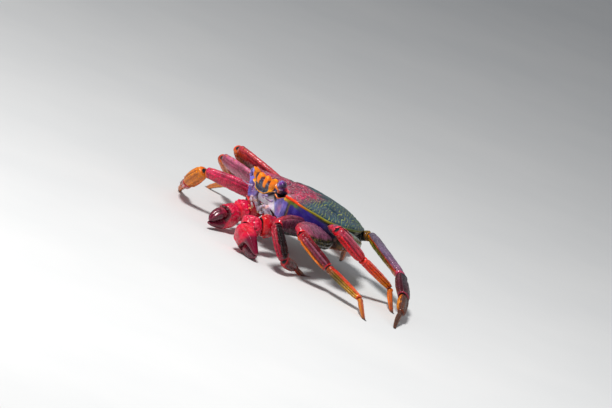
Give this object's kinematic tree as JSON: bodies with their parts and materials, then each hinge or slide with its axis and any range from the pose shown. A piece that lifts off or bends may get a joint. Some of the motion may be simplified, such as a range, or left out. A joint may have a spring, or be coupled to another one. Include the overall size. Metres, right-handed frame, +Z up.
{
  "type": "red rock shore crab",
  "caption": "Still, life-size shore crab: flat ridged shell, small folded claws, stalked eyes and broad flat walking legs ending in spiny toes.",
  "frame": {"origin": "middle of the stance's box, on the floor under the feet", "axes": "+Z up, -Y the way the crab faces, +X the crab's left"},
  "size_m": [0.2282, 0.1118, 0.0405],
  "materials": {
    "carapace": "glossy hard shell, teal behind with yellow-green broken lines, crimson in front, red-orange rim",
    "thorax": "satin pale lilac-grey underside shell",
    "abdomen": "satin pale folded tail plates",
    "eye": "wet-looking dark violet eye",
    "feeler": "orange-brown, satin",
    "mouthpart": "pale lilac shell plates, satin",
    "claw_base": "red shell, glossy",
    "claw_merus": "orange-red shell, glossy",
    "claw_carpus": "crimson shell with fine pink lines, glossy",
    "claw_palm": "crimson shell, glossy",
    "claw_finger": "dark magenta shell, glossy",
    "leg_base": "mauve and dark teal shell, glossy",
    "leg_merus": "mauve speckled shell with red edges, glossy",
    "leg_carpus": "crimson shell with orange lower edge, glossy",
    "leg_propodus": "red above, orange and olive below, glossy",
    "leg_dactyl": "orange spiny toe, satin"
  },
  "bodies": {
    "root": {"abdomen": "abdomen", "antenna_l": "feeler", "antenna_r": "feeler", "carapace": "carapace", "claw_l_base": "claw_base", "claw_l_carpus": "claw_carpus", "claw_l_finger": "claw_finger", "claw_l_merus": "claw_merus", "claw_l_palm": "claw_palm", "claw_r_base": "claw_base", "claw_r_carpus": "claw_carpus", "claw_r_finger": "claw_finger", "claw_r_merus": "claw_merus", "claw_r_palm": "claw_palm", "eye_l": "eye", "eye_r": "eye", "leg2_l_base": "leg_base", "leg2_l_carpus": "leg_carpus", "leg2_l_dactyl": "leg_dactyl", "leg2_l_merus": "leg_merus", "leg2_l_propodus": "leg_propodus", "leg2_r_base": "leg_base", "leg2_r_carpus": "leg_carpus", "leg2_r_dactyl": "leg_dactyl", "leg2_r_merus": "leg_merus", "leg2_r_propodus": "leg_propodus", "leg3_l_base": "leg_base", "leg3_l_carpus": "leg_carpus", "leg3_l_dactyl": "leg_dactyl", "leg3_l_merus": "leg_merus", "leg3_l_propodus": "leg_propodus", "leg3_r_base": "leg_base", "leg3_r_carpus": "leg_carpus", "leg3_r_dactyl": "leg_dactyl", "leg3_r_merus": "leg_merus", "leg3_r_propodus": "leg_propodus", "leg4_l_base": "leg_base", "leg4_l_carpus": "leg_carpus", "leg4_l_dactyl": "leg_dactyl", "leg4_l_merus": "leg_merus", "leg4_l_propodus": "leg_propodus", "leg4_r_base": "leg_base", "leg4_r_carpus": "leg_carpus", "leg4_r_dactyl": "leg_dactyl", "leg4_r_merus": "leg_merus", "leg4_r_propodus": "leg_propodus", "leg5_l_base": "leg_base", "leg5_l_carpus": "leg_carpus", "leg5_l_dactyl": "leg_dactyl", "leg5_l_merus": "leg_merus", "leg5_l_propodus": "leg_propodus", "leg5_r_base": "leg_base", "leg5_r_carpus": "leg_carpus", "leg5_r_dactyl": "leg_dactyl", "leg5_r_merus": "leg_merus", "leg5_r_propodus": "leg_propodus", "maxilliped_l": "mouthpart", "maxilliped_r": "mouthpart", "thorax": "thorax"}
  },
  "joints": []
}
